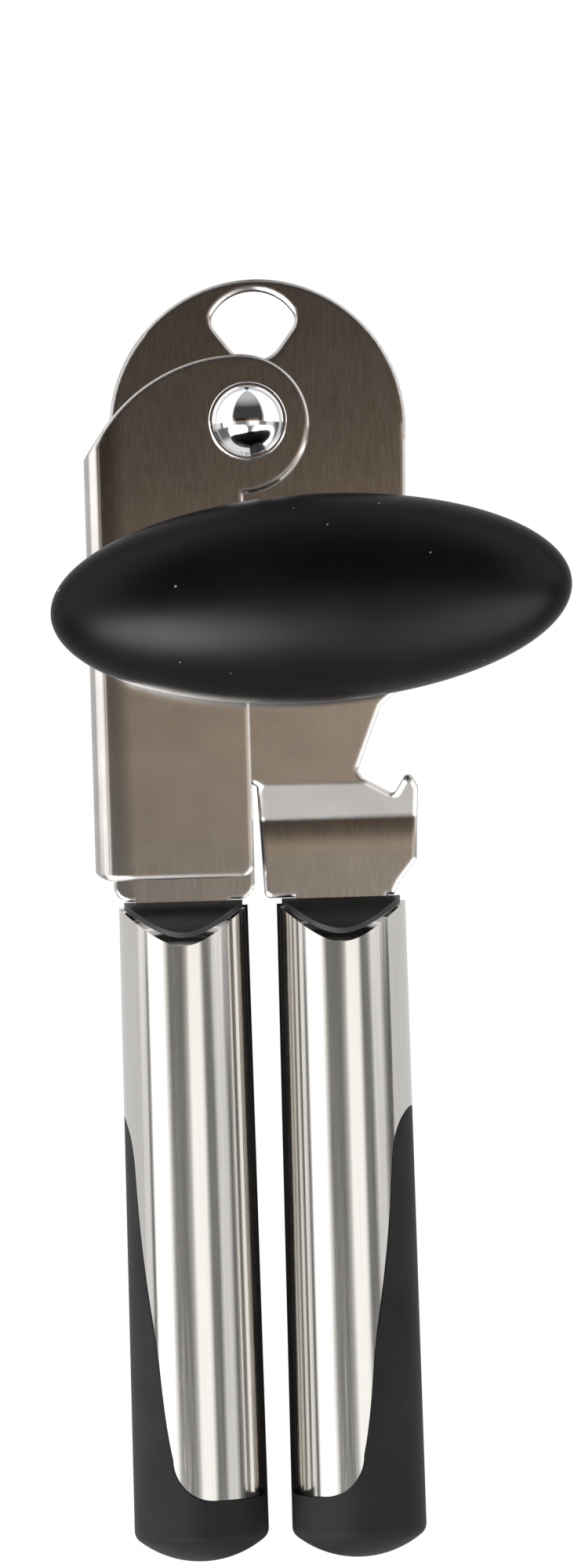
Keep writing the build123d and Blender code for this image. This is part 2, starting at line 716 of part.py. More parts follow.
for side_name, out, dx, tang_t in (("left", -1, -handle_dx, leaf_t), ("right", 1, handle_dx, plate_t)):
    with BuildPart() as sleeve:
        add(tapered_bar(dx, sleeve_top - cut_over, end_rim, 0))
        add(tapered_bar(dx, sleeve_top - 2 * cut_over, end_rim + cut_over, sleeve_t), mode=Mode.SUBTRACT)
        add(mouth_cutter(dx, 0), mode=Mode.SUBTRACT)
        add(window(dx, out, 0), mode=Mode.SUBTRACT)
    save(sleeve.part, f"{side_name}_handle_sleeve")

    with BuildPart() as plug:
        add(tapered_bar(dx, sleeve_top - plug_crown - cut_over, plug_end, sleeve_t + fit_gap))
        add(mouth_cutter(dx, plug_crown), mode=Mode.SUBTRACT)
        with BuildSketch(side_plane(dx)):
            with Locations(((tang_end + sleeve_top) / 2 - cut_over, 0)):
                Rectangle(tang_end - sleeve_top + 2 * cut_over + 2 * tang_fit, tang_t + 2 * tang_fit)
        extrude(amount=tang_w / 2 + tang_fit, both=True, mode=Mode.SUBTRACT)
        with BuildSketch(Plane(origin=(pivot_x + dx, pivot_y - tang_hole_at, z_handle))):
            Circle(tang_hole_r)
        extrude(amount=handle_r, both=True, mode=Mode.SUBTRACT)
    save(plug.part, f"{side_name}_handle_plug")

    with BuildPart() as tang_pin:
        with BuildSketch(Plane(origin=(pivot_x + dx, pivot_y - tang_hole_at, z_handle))):
            Circle(tang_hole_r)
        extrude(amount=handle_radius(tang_hole_at) - sleeve_t - tang_pin_inset, both=True)
    save(tang_pin.part, f"{side_name}_tang_pin")

    with BuildPart() as core:
        add(tapered_bar(dx, plug_end, core_end, sleeve_t + fit_gap))
    save(core.part, f"{side_name}_handle_core")

    with BuildPart() as grip_shell:
        with BuildSketch(axis_plane(dx)) as grip_profile:
            grip_top = window_start - cut_over
            with BuildLine():
                Polyline((handle_end, 0), (grip_top, 0), (grip_top, handle_radius(grip_top)))
                Line((grip_top, handle_radius(grip_top)), (end_rim, handle_r))
                end_r = (handle_r**2 + (handle_end - end_rim) ** 2) / (2 * (handle_end - end_rim))
                end_mid = end_r - sqrt(end_r**2 - handle_r**2 / 4)
                ThreePointArc((end_rim, handle_r), (handle_end - end_mid, handle_r / 2), (handle_end, 0))
            make_face()
            fillet(near(grip_profile.vertices(), end_rim, handle_r), end_round)
        revolve(axis=handle_axis(dx))
        add(tapered_bar(dx, grip_top - cut_over, core_end, sleeve_t + fit_gap), mode=Mode.SUBTRACT)
    with BuildPart() as grip:
        add(grip_shell.part & window(dx, out, grip_gap))
    save(grip.part, f"{side_name}_handle_grip")
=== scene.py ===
"""Dresses a manual can opener: stamped steel levers, steel-sleeved handles with soft grips, a
large soft knob and the wheels and pins that hold and drive it, on a pale studio floor."""

import math

import bmesh
import bpy
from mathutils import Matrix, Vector


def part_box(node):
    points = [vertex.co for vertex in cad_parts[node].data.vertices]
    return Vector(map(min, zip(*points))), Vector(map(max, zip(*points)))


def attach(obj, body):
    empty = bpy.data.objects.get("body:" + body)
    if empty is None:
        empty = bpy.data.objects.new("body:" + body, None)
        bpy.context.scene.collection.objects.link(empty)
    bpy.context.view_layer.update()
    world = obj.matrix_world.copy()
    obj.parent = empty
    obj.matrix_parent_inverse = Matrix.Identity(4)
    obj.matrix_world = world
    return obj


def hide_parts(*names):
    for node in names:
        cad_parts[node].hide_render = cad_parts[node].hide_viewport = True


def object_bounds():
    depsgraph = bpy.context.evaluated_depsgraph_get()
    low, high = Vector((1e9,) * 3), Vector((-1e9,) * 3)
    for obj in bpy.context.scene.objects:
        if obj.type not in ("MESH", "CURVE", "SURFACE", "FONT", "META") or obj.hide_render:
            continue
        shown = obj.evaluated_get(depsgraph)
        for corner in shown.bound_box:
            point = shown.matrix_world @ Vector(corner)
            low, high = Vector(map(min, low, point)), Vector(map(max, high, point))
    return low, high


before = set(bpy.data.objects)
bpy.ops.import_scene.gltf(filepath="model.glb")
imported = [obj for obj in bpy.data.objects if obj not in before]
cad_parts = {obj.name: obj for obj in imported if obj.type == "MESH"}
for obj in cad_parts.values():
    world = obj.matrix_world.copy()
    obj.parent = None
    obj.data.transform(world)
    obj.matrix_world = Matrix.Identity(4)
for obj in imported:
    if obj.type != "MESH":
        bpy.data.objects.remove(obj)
CAD_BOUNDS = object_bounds()

bl_info = {
    "name": "Manual can opener",
    "version": (1, 0, 0),
    "blender": (4, 5, 0),
    "location": "3D View > Sidebar > Can opener",
    "description": "Builds the finishes and soft parts of a manual can opener and a studio for it",
    "category": "Add Mesh",
}

MM = 0.001

# The opener's own places, taken from its parts
LOWEST = Vector(CAD_BOUNDS[0])
RIVET_LOW, RIVET_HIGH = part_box("pivot_rivet")
PIVOT = (RIVET_LOW + RIVET_HIGH) / 2
KNOB_LOW, KNOB_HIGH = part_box("knob_skin")
KNOB_TOP = KNOB_HIGH.z
KNOB_THICK = 25.0 * MM
KNOB_UNDER = KNOB_TOP - KNOB_THICK
SKIN_SHARE = 0.9985  # the soft skin's size as a share of the part's, so that it stays inside
SKIN_AROUND, SKIN_RINGS = 192, 72  # facets of the soft skin
SHAFT_LOW, SHAFT_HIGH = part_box("drive_shaft")
SHAFT = (SHAFT_LOW + SHAFT_HIGH) / 2
PLATE_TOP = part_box("back_lever")[1].z
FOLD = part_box("front_lever")[0].x
FOLD_FALL = (FOLD + 6.5 * MM, FOLD + 2.4 * MM)  # where the leaf falls away into the fold
JOGGLE_FOOT = PIVOT.y - 62.9 * MM  # the lower end of the joggle's slope
JOGGLE_FALL = (JOGGLE_FOOT - 6.0 * MM, JOGGLE_FOOT)  # where the tail's face falls away beside it
LEFT_CORE, RIGHT_CORE = (sum(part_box(f"{side}_handle_core"), Vector()) / 2 for side in ("left", "right"))
GAP_X = (LEFT_CORE.x + RIGHT_CORE.x) / 2
HANDLE_APART = (RIGHT_CORE.x - LEFT_CORE.x) / 2


# ---------------------------------------------------------------- colours, nodes and materials
OUTER_FACE = 0.96  # cosine of the most that a tube's outer face leans off the true round
DUST_CELL = 2.6  # mm: each cell of this size may hold one speck
DUST_RADIUS = 0.195  # mm: real specks are under 0.1 mm, and are drawn larger so that they show


def linear(hex_colour):
    """sRGB hex colour to the linear RGBA that shaders take."""
    value = hex_colour.lstrip("#")
    channels = [int(value[i : i + 2], 16) / 255 for i in (0, 2, 4)]
    return [c / 12.92 if c <= 0.04045 else ((c + 0.055) / 1.055) ** 2.4 for c in channels] + [1.0]


def hex_default(hex_colour):
    """A colour property's default. COLOR_GAMMA properties hold sRGB values as they are written."""
    value = hex_colour.lstrip("#")
    return tuple(int(value[i : i + 2], 16) / 255 for i in (0, 2, 4))


def from_property(colour):
    """A colour property's sRGB value as linear RGBA."""
    return linear("".join(f"{round(max(0.0, min(1.0, c)) * 255):02x}" for c in colour))


def fill_inputs(tree, node, inputs):
    """Fills a node's inputs with values, or with links from sockets."""
    for name, value in inputs.items():
        if isinstance(value, bpy.types.NodeSocket):
            tree.links.new(value, node.inputs[name])
        else:
            node.inputs[name].default_value = value


def add_node(tree, kind, inputs=None, **settings):
    """Adds a node, sets its settings and then fills its inputs."""
    node = tree.nodes.new(kind)
    for name, value in settings.items():
        setattr(node, name, value)
    fill_inputs(tree, node, inputs or {})
    return node


def colours_along(tree, factor, stops):
    """A colour that runs through (position, linear RGBA) stops."""
    node = add_node(tree, "ShaderNodeValToRGB", {"Fac": factor})
    elements = node.color_ramp.elements
    while len(elements) < len(stops):
        elements.new(0.5)
    for element, (position, colour) in zip(elements, stops):
        element.position = position
        element.color = colour
    return node.outputs["Color"]


def grey(level):
    """A linear grey."""
    return [level, level, level, 1.0]


def scaled(colour, share):
    """A linear colour made darker or lighter by a share."""
    return [channel * share for channel in colour[:3]] + [1.0]


def new_material(name):
    """An empty material with its tree, its Principled shader and the object's own coordinates."""
    material = bpy.data.materials.new(name)
    material.use_nodes = True
    tree = material.node_tree
    tree.nodes.clear()
    output = add_node(tree, "ShaderNodeOutputMaterial")
    shader = add_node(tree, "ShaderNodeBsdfPrincipled")
    tree.links.new(shader.outputs["BSDF"], output.inputs["Surface"])
    place = add_node(tree, "ShaderNodeTexCoord").outputs["Object"]
    return material, tree, shader, place


def brushed(tree, place, spacing, run, along):
    """Noise drawn out along one axis: spacing between scratches and their length, in millimetres."""
    scale = [1.0 / (spacing * MM)] * 3
    scale["XYZ".index(along)] = 1.0 / (run * MM)
    drawn_out = add_node(tree, "ShaderNodeMapping", {"Vector": place, "Scale": scale}).outputs["Vector"]
    return add_node(
        tree, "ShaderNodeTexNoise", {"Vector": drawn_out, "Scale": 1.0, "Detail": 3.0}
    ).outputs["Fac"]


def blotches(tree, place, size, detail=2.0):
    """Soft uneven patches of about size millimetres."""
    return add_node(
        tree, "ShaderNodeTexNoise", {"Vector": place, "Scale": 1.0 / (size * MM), "Detail": detail}
    ).outputs["Fac"]


def noise_between(tree, noise, low, high):
    """A noise, which mostly lies between 0.3 and 0.7, spread over a range of a shader's input."""
    return add_node(
        tree,
        "ShaderNodeMapRange",
        {"Value": noise, "From Min": 0.3, "From Max": 0.7, "To Min": low, "To Max": high},
    ).outputs["Result"]


def uneven(tree, noise, dark, light):
    """A colour that goes from dark to light with a noise."""
    factor = noise_between(tree, noise, 0.0, 1.0)
    return add_node(
        tree, "ShaderNodeMix", {"Factor": factor, "A": dark, "B": light}, data_type="RGBA"
    ).outputs["Result"]


def relief(tree, height, depth, strength, under=None):
    """The normal of a relief of a depth in millimetres, over another normal if one is given."""
    inputs = {"Height": height, "Distance": depth * MM, "Strength": strength}
    if under is not None:
        inputs["Normal"] = under
    return add_node(tree, "ShaderNodeBump", inputs).outputs["Normal"]


def rounded_rims(tree, radius):
    """The normal of edges that look rounded by a radius in millimetres."""
    return add_node(tree, "ShaderNodeBevel", {"Radius": radius * MM}, samples=6).outputs["Normal"]


def fall_away(tree, place, axis, fall, depth, under):
    """The normal of sheet that falls by a depth in millimetres between two places on an axis, faster
    and faster, as beside a bend."""
    along = add_node(tree, "ShaderNodeSeparateXYZ", {"Vector": place}).outputs[axis]
    start, end = fall
    run = add_node(
        tree,
        "ShaderNodeMapRange",
        {"Value": along, "From Min": start, "From Max": end, "To Min": 0.0, "To Max": 1.0},
    ).outputs["Result"]
    fallen = add_node(tree, "ShaderNodeMath", {0: run, 1: run}, operation="MULTIPLY").outputs["Value"]
    height = add_node(tree, "ShaderNodeMath", {0: 1.0, 1: fallen}, operation="SUBTRACT").outputs["Value"]
    return relief(tree, height, depth, strength=1.0, under=under)


def rolled_stainless(name, colour, axis, fall, depth):
    """Rolled 18/10 stainless sheet, tumbled after stamping: a satin face with a faint grain down
    the lever, cloudy tumbling patches, and rims that tumbling has worn round and bright. Beside
    its bend the face falls away a little."""
    material, tree, shader, place = new_material(name)
    grain = brushed(tree, place, spacing=0.30, run=2.5, along="Y")
    cloud = blotches(tree, place, size=7.0)
    face = fall_away(tree, place, axis, fall, depth, under=rounded_rims(tree, radius=0.9))
    fill_inputs(
        tree,
        shader,
        {
            "Base Color": uneven(tree, cloud, scaled(colour, 0.90), colour),
            "Metallic": 1.0,
            "Roughness": noise_between(tree, grain, 0.085, 0.12),
            "Normal": relief(tree, grain, depth=0.002, strength=0.25, under=face),
        },
    )
    return material


def true_round(tree, place, axis_x, axis_z):
    """The normal of a true round tube along Y, for its outer face. Other faces keep their own."""
    split = add_node(tree, "ShaderNodeSeparateXYZ", {"Vector": place})
    out_x = add_node(tree, "ShaderNodeMath", {0: split.outputs["X"], 1: axis_x}, operation="SUBTRACT")
    out_z = add_node(tree, "ShaderNodeMath", {0: split.outputs["Z"], 1: axis_z}, operation="SUBTRACT")
    radial = add_node(
        tree, "ShaderNodeCombineXYZ", {"X": out_x.outputs["Value"], "Z": out_z.outputs["Value"]}
    )
    turned = add_node(
        tree,
        "ShaderNodeVectorTransform",
        {"Vector": radial.outputs["Vector"]},
        vector_type="NORMAL",
        convert_from="OBJECT",
        convert_to="WORLD",
    )
    unit = add_node(
        tree, "ShaderNodeVectorMath", {0: turned.outputs["Vector"]}, operation="NORMALIZE"
    ).outputs["Vector"]
    surface = add_node(tree, "ShaderNodeNewGeometry")
    alike = add_node(
        tree, "ShaderNodeVectorMath", {0: unit, 1: surface.outputs["True Normal"]}, operation="DOT_PRODUCT"
    ).outputs["Value"]
    outer = add_node(
        tree, "ShaderNodeMath", {0: alike, 1: OUTER_FACE}, operation="GREATER_THAN"
    ).outputs["Value"]
    return add_node(
        tree,
        "ShaderNodeMix",
        {"Factor": outer, "A": surface.outputs["Normal"], "B": unit},
        data_type="VECTOR",
    ).outputs["Result"]


def polished_tube(name, colour, axis_x, axis_z):
    """Drawn stainless tube, polished and then linished lengthwise: sharp long bands of light with
    very fine scratches along the handle."""
    material, tree, shader, place = new_material(name)
    lines = brushed(tree, place, spacing=0.22, run=26.0, along="Y")
    face = true_round(tree, place, axis_x, axis_z)
    fill_inputs(
        tree,
        shader,
        {
            "Base Color": uneven(tree, lines, scaled(colour, 0.93), colour),
            "Metallic": 1.0,
            "Roughness": noise_between(tree, lines, 0.07, 0.13),
            "Normal": relief(tree, lines, depth=0.003, strength=0.35, under=face),
        },
    )
    return material


def plated_chrome(colour):
    """Bright chrome plate over turned steel: mirror sharp, with a trace of polishing haze."""
    material, tree, shader, place = new_material("chrome_plate_polished")
    haze = blotches(tree, place, size=1.2)
    fill_inputs(
        tree,
        shader,
        {
            "Base Color": colour,
            "Metallic": 1.0,
            "Roughness": noise_between(tree, haze, 0.05, 0.11),
            "Normal": relief(tree, haze, depth=0.004, strength=0.25),
        },
    )
    return material


def turned_steel(name, colour, roughness, spacing):
    """Machined steel with a light oil film: fine tool marks and uneven sheen."""
    material, tree, shader, place = new_material(name)
    marks = brushed(tree, place, spacing, run=40.0, along="Z")
    patches = blotches(tree, place, size=2.5)
    fill_inputs(
        tree,
        shader,
        {
            "Base Color": uneven(tree, patches, scaled(colour, 0.8), colour),
            "Metallic": 1.0,
            "Roughness": noise_between(tree, marks, roughness, roughness + 0.12),
            "Normal": relief(tree, marks, depth=0.004, strength=0.4),
        },
    )
    return material


def moulded_plastic(colour):
    """Black polypropylene from a spark-textured mould: low sheen with a fine, even pebble."""
    material, tree, shader, place = new_material("polypropylene_moulded_black")
    pebble = blotches(tree, place, size=0.5, detail=3.0)
    fill_inputs(
        tree,
        shader,
        {
            "Base Color": colour,
            "IOR": 1.49,
            "Roughness": noise_between(tree, pebble, 0.34, 0.46),
            "Normal": relief(tree, pebble, depth=0.01, strength=0.5),
        },
    )
    return material


def both(tree, one, other):
    """1 where two shares are both 1."""
    return add_node(tree, "ShaderNodeMath", {0: one, 1: other}, operation="MULTIPLY").outputs["Value"]


def dust_specks(tree, place, share):
    """1 on stray specks of dust and 0 between them. share is how many cells hold a speck."""
    cells = add_node(
        tree, "ShaderNodeTexVoronoi", {"Vector": place, "Scale": 1.0 / (DUST_CELL * MM), "Randomness": 1.0}
    )
    near = {0: cells.outputs["Distance"], 1: DUST_RADIUS / DUST_CELL}
    speck = add_node(tree, "ShaderNodeMath", near, operation="LESS_THAN").outputs["Value"]
    chance = add_node(
        tree, "ShaderNodeSeparateColor", {"Color": cells.outputs["Color"]}
    ).outputs["Red"]
    chosen = add_node(tree, "ShaderNodeMath", {0: chance, 1: share}, operation="LESS_THAN").outputs["Value"]
    return both(tree, speck, chosen)


def soft_elastomer(name, colour, dust_colour, dust_share, roughness, gloss, sheen):
    """Thermoplastic elastomer, moulded matte: light falls off broadly, the surface holds a faint
    bloom of handling marks, and stray dust clings to it as pale specks."""
    material, tree, shader, place = new_material(name)
    bloom = blotches(tree, place, size=14.0, detail=4.0)
    pores = blotches(tree, place, size=0.35)
    dust = dust_specks(tree, place, dust_share)
    clean = uneven(tree, bloom, scaled(colour, 0.85), scaled(colour, 1.25))
    dusty = add_node(
        tree, "ShaderNodeMix", {"Factor": dust, "A": clean, "B": dust_colour}, data_type="RGBA"
    ).outputs["Result"]
    fill_inputs(
        tree,
        shader,
        {
            "Base Color": dusty,
            "Roughness": noise_between(tree, bloom, roughness, roughness + 0.08),
            "IOR": 1.5,
            "Specular IOR Level": gloss,
            "Sheen Weight": sheen,
            "Sheen Roughness": 0.16,
            "Normal": relief(tree, pores, depth=0.012, strength=0.6),
        },
    )
    return material


def dress(node_name, material):
    """Puts a finish into every material slot of a part."""
    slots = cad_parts[node_name].data.materials
    for index in range(len(slots)):
        slots[index] = material


# ---------------------------------------------------------------- properties
class OpenerSteel(bpy.types.PropertyGroup):
    """Finishes of the metal parts."""

    sheet: bpy.props.FloatVectorProperty(
        name="Sheet", description="Satin stainless of the levers", subtype="COLOR_GAMMA",
        default=hex_default("cbc7c3"), min=0, max=1,
    )
    tube: bpy.props.FloatVectorProperty(
        name="Tube", description="Linished stainless of the handle sleeves", subtype="COLOR_GAMMA",
        default=hex_default("dedbd6"), min=0, max=1,
    )
    chrome: bpy.props.FloatVectorProperty(
        name="Chrome", description="Plating of the rivet and its ring", subtype="COLOR_GAMMA",
        default=hex_default("e6e6e8"), min=0, max=1,
    )
    hardened: bpy.props.FloatVectorProperty(
        name="Hardened steel", description="Cutter and feed wheels", subtype="COLOR_GAMMA",
        default=hex_default("b9b9bb"), min=0, max=1,
    )


class OpenerSoft(bpy.types.PropertyGroup):
    """Colours of the black parts."""

    knob: bpy.props.FloatVectorProperty(
        name="Knob skin", description="Matte elastomer of the knob", subtype="COLOR_GAMMA",
        default=hex_default("0a0a0a"), min=0, max=1,
    )
    grip: bpy.props.FloatVectorProperty(
        name="Grips", description="Matte elastomer of the handle grips", subtype="COLOR_GAMMA",
        default=hex_default("282829"), min=0, max=1,
    )
    plastic: bpy.props.FloatVectorProperty(
        name="Plugs", description="Hard plastic of the plugs and cores", subtype="COLOR_GAMMA",
        default=hex_default("18181a"), min=0, max=1,
    )


class OpenerKnob(bpy.types.PropertyGroup):
    """Shape of the knob's skin."""

    fullness: bpy.props.FloatProperty(
        name="Fullness", description="Roundness from side to top: 2 is an ellipse, more is squarer",
        default=2.08, min=1.6, max=3.0,
    )
    turn: bpy.props.FloatProperty(
        name="Turn", description="How far the knob is turned at rest", default=math.radians(2.2),
        subtype="ANGLE",
    )
    skin: bpy.props.FloatProperty(
        name="Skin", description="How far the open underside turns in round the boss",
        default=8.0 * MM, unit="LENGTH",
    )


class OpenerStudio(bpy.types.PropertyGroup):
    """Floor, light and camera."""

    floor: bpy.props.FloatVectorProperty(
        name="Floor", description="Colour of the floor", subtype="COLOR_GAMMA",
        default=hex_default("f6f5f4"), min=0, max=1,
    )
    framed_length: bpy.props.FloatProperty(
        name="Framed length", description="Length that the long side of the picture takes in",
        default=247.8 * MM, unit="LENGTH",
    )
    distance: bpy.props.FloatProperty(
        name="Camera distance", description="From the camera to the levers", default=1.0, unit="LENGTH",
    )
    lean: bpy.props.FloatProperty(
        name="Lean", description="How far the opener leans in the picture", default=math.radians(1.7),
        subtype="ANGLE",
    )
    soft_light: bpy.props.FloatProperty(
        name="Soft light", description="Watts that each lamp takes a share of", default=3.4, min=0.0,
    )


# ---------------------------------------------------------------- pieces
class OPENER_OT_levers(bpy.types.Operator):
    """Finish the two stamped levers."""

    bl_idname = "opener.levers"
    bl_label = "Levers"

    def execute(self, context):
        sheet = from_property(context.scene.opener_steel.sheet)
        joggled = rolled_stainless("stainless_sheet_joggled", sheet, "Y", JOGGLE_FALL, depth=0.13)
        folded = rolled_stainless("stainless_sheet_folded", sheet, "X", FOLD_FALL, depth=0.17)
        dress("back_lever", joggled)
        dress("front_lever", folded)
        return {"FINISHED"}


class OPENER_OT_pivot(bpy.types.Operator):
    """Finish the rivet that joins the levers, with its ring and spacers."""

    bl_idname = "opener.pivot"
    bl_label = "Pivot"

    def execute(self, context):
        chrome = plated_chrome(from_property(context.scene.opener_steel.chrome))
        for name in ("pivot_rivet", "rivet_washer", "cutter_axle"):
            dress(name, chrome)
        washers = turned_steel("steel_washer_turned", linear("b4b4b4"), roughness=0.28, spacing=0.5)
        for name in ("pivot_spacers", "cutter_washer", "cutter_spacer", "spring_washer", "shaft_bearing"):
            dress(name, washers)
        return {"FINISHED"}


class OPENER_OT_drive(bpy.types.Operator):
    """Finish the cutter, the feed wheel, the shaft and the pins."""

    bl_idname = "opener.drive"
    bl_label = "Cutter and drive"

    def execute(self, context):
        hardened = from_property(context.scene.opener_steel.hardened)
        dress("cutter_wheel", turned_steel("tool_steel_ground", hardened, roughness=0.16, spacing=0.3))
        darker = scaled(hardened, 0.7)
        sintered = turned_steel("sintered_steel_hardened", darker, roughness=0.34, spacing=0.4)
        dress("feed_wheel", sintered)
        plain = turned_steel("steel_shaft_milled", linear("c2c2c3"), roughness=0.22, spacing=0.45)
        for name in ("drive_shaft", "feed_wheel_nut", "knob_pin", "left_tang_pin", "right_tang_pin"):
            dress(name, plain)
        return {"FINISHED"}


class OPENER_OT_handles(bpy.types.Operator):
    """Finish both handles: steel sleeve, plug, core and soft grip."""

    bl_idname = "opener.handles"
    bl_label = "Handles"

    def execute(self, context):
        soft = context.scene.opener_soft
        steel = from_property(context.scene.opener_steel.tube)
        plastic = moulded_plastic(from_property(soft.plastic))
        grip = soft_elastomer(
            "elastomer_grip_matte",
            from_property(soft.grip),
            linear("6c6c70"),
            dust_share=0.04,
            roughness=0.46,
            gloss=0.045,
            sheen=0.02,
        )
        for side, core in (("left", LEFT_CORE), ("right", RIGHT_CORE)):
            tube = polished_tube(f"stainless_tube_linished_{side}", steel, core.x, core.z)
            dress(f"{side}_handle_sleeve", tube)
            dress(f"{side}_handle_plug", plastic)
            dress(f"{side}_handle_core", plastic)
            dress(f"{side}_handle_grip", grip)
        dress("knob_core", plastic)
        return {"FINISHED"}


class OPENER_OT_knob(bpy.types.Operator):
    """Model the knob's soft skin as one smooth pebble over its hard core."""

    bl_idname = "opener.knob"
    bl_label = "Knob"

    def execute(self, context):
        settings = context.scene.opener_knob
        turn = settings.turn
        half_z = KNOB_THICK / 2
        # The box of a turned ellipse gives back its two half axes
        reach_x, reach_y = (KNOB_HIGH.x - KNOB_LOW.x) / 2, (KNOB_HIGH.y - KNOB_LOW.y) / 2
        cos2, sin2 = math.cos(turn) ** 2, math.sin(turn) ** 2
        half_l = math.sqrt((reach_x**2 * cos2 - reach_y**2 * sin2) / (cos2 - sin2)) * SKIN_SHARE
        half_w = math.sqrt((reach_y**2 * cos2 - reach_x**2 * sin2) / (cos2 - sin2)) * SKIN_SHARE
        power = 2 / settings.fullness
        build = bmesh.new()

        def ring(tilt):
            """A level ring of the pebble. tilt runs from -90 degrees below to 90 degrees on top."""
            width = abs(math.cos(tilt)) ** power
            height = math.copysign(abs(math.sin(tilt)) ** power, tilt) * half_z * SKIN_SHARE
            verts = []
            for i in range(SKIN_AROUND):
                angle = 2 * math.pi * i / SKIN_AROUND
                x, y = half_l * width * math.cos(angle), half_w * width * math.sin(angle)
                if tilt < -math.pi / 4:
                    # Near the boss the underside ends in a round opening
                    grow = max(1.0, settings.skin / max(math.hypot(x, y), MM / 100))
                    x, y = x * grow, y * grow
                verts.append(
                    build.verts.new(
                        (
                            SHAFT.x + x * math.cos(turn) - y * math.sin(turn),
                            SHAFT.y + x * math.sin(turn) + y * math.cos(turn),
                            KNOB_UNDER + half_z + height,
                        )
                    )
                )
            return verts

        lowest_tilt = -math.acos((settings.skin / half_l) ** (1 / power))
        tilts = [lowest_tilt + (math.pi / 2 - lowest_tilt) * i / SKIN_RINGS for i in range(SKIN_RINGS)]
        rings = [ring(tilt) for tilt in tilts]
        for lower, upper in zip(rings, rings[1:]):
            for i in range(SKIN_AROUND):
                j = (i + 1) % SKIN_AROUND
                build.faces.new((lower[i], lower[j], upper[j], upper[i]))
        top = build.verts.new((SHAFT.x, SHAFT.y, KNOB_UNDER + half_z * (1 + SKIN_SHARE)))
        for i in range(SKIN_AROUND):
            build.faces.new((rings[-1][i], rings[-1][(i + 1) % SKIN_AROUND], top))
        bmesh.ops.recalc_face_normals(build, faces=build.faces)
        mesh = bpy.data.meshes.new("knob_skin_soft")
        build.to_mesh(mesh)
        build.free()
        mesh.shade_smooth()
        skin = bpy.data.objects.new("knob_skin_soft", mesh)
        context.collection.objects.link(skin)
        skin.data.materials.append(
            soft_elastomer(
                "elastomer_knob_matte",
                from_property(context.scene.opener_soft.knob),
                linear("9a9a9a"),
                dust_share=0.16,
                roughness=0.30,
                gloss=0.12,
                sheen=0.10,
            )
        )
        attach(skin, "drive")
        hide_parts("knob_skin")
        return {"FINISHED"}


# ---------------------------------------------------------------- studio
# The sky that polished metal mirrors. An angle is in degrees from straight up, across the
# handles, with the left side negative. A height is the Y of a direction: 0 is straight up and 1
# is level towards the head. A level face under the camera mirrors 0.001 of height a millimetre.
SKY_BANDS = (  # angle, brightness
    (-85, 0.92),
    (-77, 0.88),
    (-74, 0.10),
    (-71, 0.12),
    (-67, 1.60),
    (-40, 1.60),
    (-33, 0.70),
    (-29, 0.24),
    (-7, 0.22),
    (1, 0.62),
    (6, 1.35),
    (26, 1.32),
    (33, 0.25),
    (46, 0.19),
    (53, 0.84),
    (68, 0.84),
    (76, 0.22),
    (88, 0.06),
)
CEILING_START, CEILING_END = -0.022, 0.10  # heights
CEILING_TINTS = (  # share of the way from start to end, linear RGB
    (0.0, (0.355, 0.287, 0.223)),
    (0.12, (0.585, 0.468, 0.360)),
    (0.20, (0.972, 0.784, 0.591)),
    (0.32, (0.940, 0.764, 0.591)),
    (0.50, (0.183, 0.139, 0.103)),
    (1.0, (0.110, 0.087, 0.069)),
)
RIM_BOXES = grey(1.75)
DIM_ROOM = grey(0.16)
FOOT_WINDOW = [0.88, 0.88, 0.87, 1]
DARK_ROOM, ROOM_END = grey(0.06), grey(0.60)
LOW_BOXES = (  # direction, half angle in degrees, brightness
    ((-0.43, -0.40, 0.81), 27, 17.0),
    ((0.62, -0.50, 0.60), 36, 5.0),
)
LOW_BOX_CORE = 8  # half angle in degrees of a low box's evenly bright middle
ROOM_FILL = 0.18  # brightness of the world for matte surfaces
# Painted reflection of the floor for polished metal: painted shade, nearly black, in the gap between the
# handles, and pale beside them
GAP_PAINTED_SHADE, PAINTED_FLOOR_BESIDE = grey(0.01), grey(0.74)  # the floor as polished metal mirrors it
BACKLIGHT = 1.05  # a little overexposed
BACKLIT_SHARE = 0.95  # how much of the floor, as the camera sees it, is backlight
FLOOR_REACH = 6.0  # metres to each side
LAMPS = (  # name, place and size in metres, share of the soft light's power
    ("soft_left", (-0.95, -0.30, 0.24), (0.7, 1.3), 7.5),
    ("soft_right", (0.90, -0.40, 0.22), (0.6, 1.2), 3.4),
    ("soft_above", (0.05, 0.25, 1.3), (1.2, 1.2), 0.3),
)
CAMERA_FROM_PIVOT = Vector((4.5 * MM, -57.4 * MM, 0))


def spread(tree, value, start, end):
    """0 at start and 1 at end, eased at both."""
    return add_node(
        tree,
        "ShaderNodeMapRange",
        {"Value": value, "From Min": start, "From Max": end, "To Min": 0.0, "To Max": 1.0},
        interpolation_type="SMOOTHSTEP",
    ).outputs["Result"]


